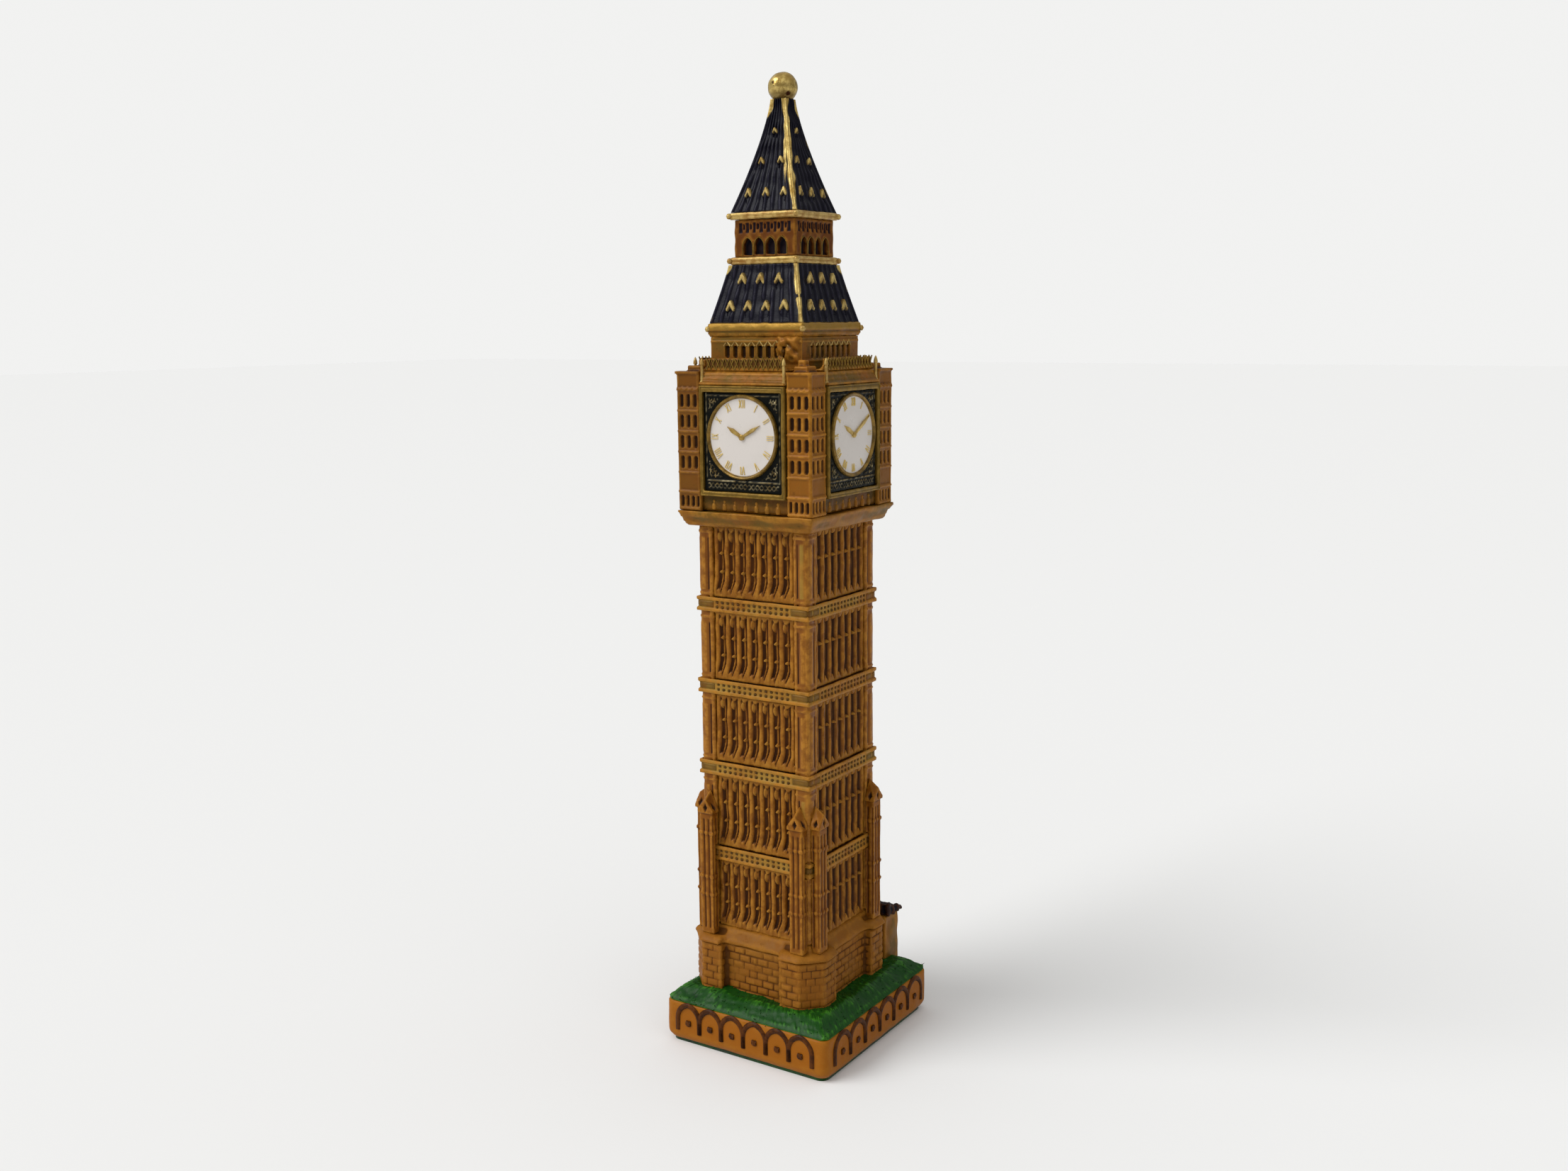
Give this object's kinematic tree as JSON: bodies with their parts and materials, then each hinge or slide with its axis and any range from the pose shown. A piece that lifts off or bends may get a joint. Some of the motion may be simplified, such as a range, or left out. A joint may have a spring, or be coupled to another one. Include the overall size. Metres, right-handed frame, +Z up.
{
  "type": "miniature landmark model",
  "caption": "Hand-painted cast-resin souvenir of a Gothic clock tower on a grassed plinth, with buttressed shaft, dials, two roofs and a ball finial.",
  "frame": {"origin": "on the underside of the felt pad, on the tower's vertical axis; the plinth reaches 3.2 mm further back than forward and 3 mm further right than left", "axes": "+Z up; -Y is the front face, at the left of the picture; +X is the right face; the annex is on +Y"},
  "size_m": [0.0504, 0.0544, 0.25],
  "materials": {
    "stone_paint": "brown and ochre washed paint on cast resin, satin",
    "plinth_paint": "orange-ochre paint on cast resin, satin",
    "gold_paint": "metallic gold paint over brown on cast resin, satin",
    "roof_paint": "navy-black paint on ribbed cast resin, satin",
    "black_paint": "gloss black paint with rubbed gold relief",
    "dial_paint": "white paint, satin",
    "grass_paint": "gloss green paint, light and dark",
    "felt": "dark green felt"
  },
  "bodies": {
    "root": {"annex_roof": "roof_paint", "annex_walls": "stone_paint", "arcade_cornice": "gold_paint", "arcade_stage": "stone_paint", "ball_finial": "gold_paint", "base_ledge": "stone_paint", "base_walls": "stone_paint", "buttress_back_left": "stone_paint", "buttress_back_right": "stone_paint", "buttress_front_left": "stone_paint", "buttress_front_right": "stone_paint", "buttress_left_left": "stone_paint", "buttress_left_right": "stone_paint", "buttress_right_left": "stone_paint", "buttress_right_right": "stone_paint", "clock_corbel": "stone_paint", "clock_cornice": "gold_paint", "clock_frame_back": "gold_paint", "clock_frame_front": "gold_paint", "clock_frame_left": "gold_paint", "clock_frame_right": "gold_paint", "clock_hands_back": "gold_paint", "clock_hands_front": "gold_paint", "clock_hands_left": "gold_paint", "clock_hands_right": "gold_paint", "clock_stage_core": "stone_paint", "corner_pilaster_back_left": "stone_paint", "corner_pilaster_back_right": "stone_paint", "corner_pilaster_front_left": "stone_paint", "corner_pilaster_front_right": "stone_paint", "corner_turret_back_left": "stone_paint", "corner_turret_back_right": "stone_paint", "corner_turret_front_left": "stone_paint", "corner_turret_front_right": "stone_paint", "dial_back": "dial_paint", "dial_front": "dial_paint", "dial_left": "dial_paint", "dial_right": "dial_paint", "dial_surround_back": "black_paint", "dial_surround_front": "black_paint", "dial_surround_left": "black_paint", "dial_surround_right": "black_paint", "felt_pad": "felt", "grass_mound": "grass_paint", "lantern": "plinth_paint", "lantern_cornice": "gold_paint", "lantern_sill": "gold_paint", "lower_roof": "roof_paint", "plinth": "plinth_paint", "roof_parapet": "gold_paint", "shaft_core": "stone_paint", "spire": "roof_paint", "string_course_1": "stone_paint", "string_course_2": "stone_paint", "string_course_3": "stone_paint", "string_course_4": "stone_paint", "tracery_panel_back": "stone_paint", "tracery_panel_front": "stone_paint", "tracery_panel_left": "stone_paint", "tracery_panel_right": "stone_paint"}
  },
  "joints": []
}
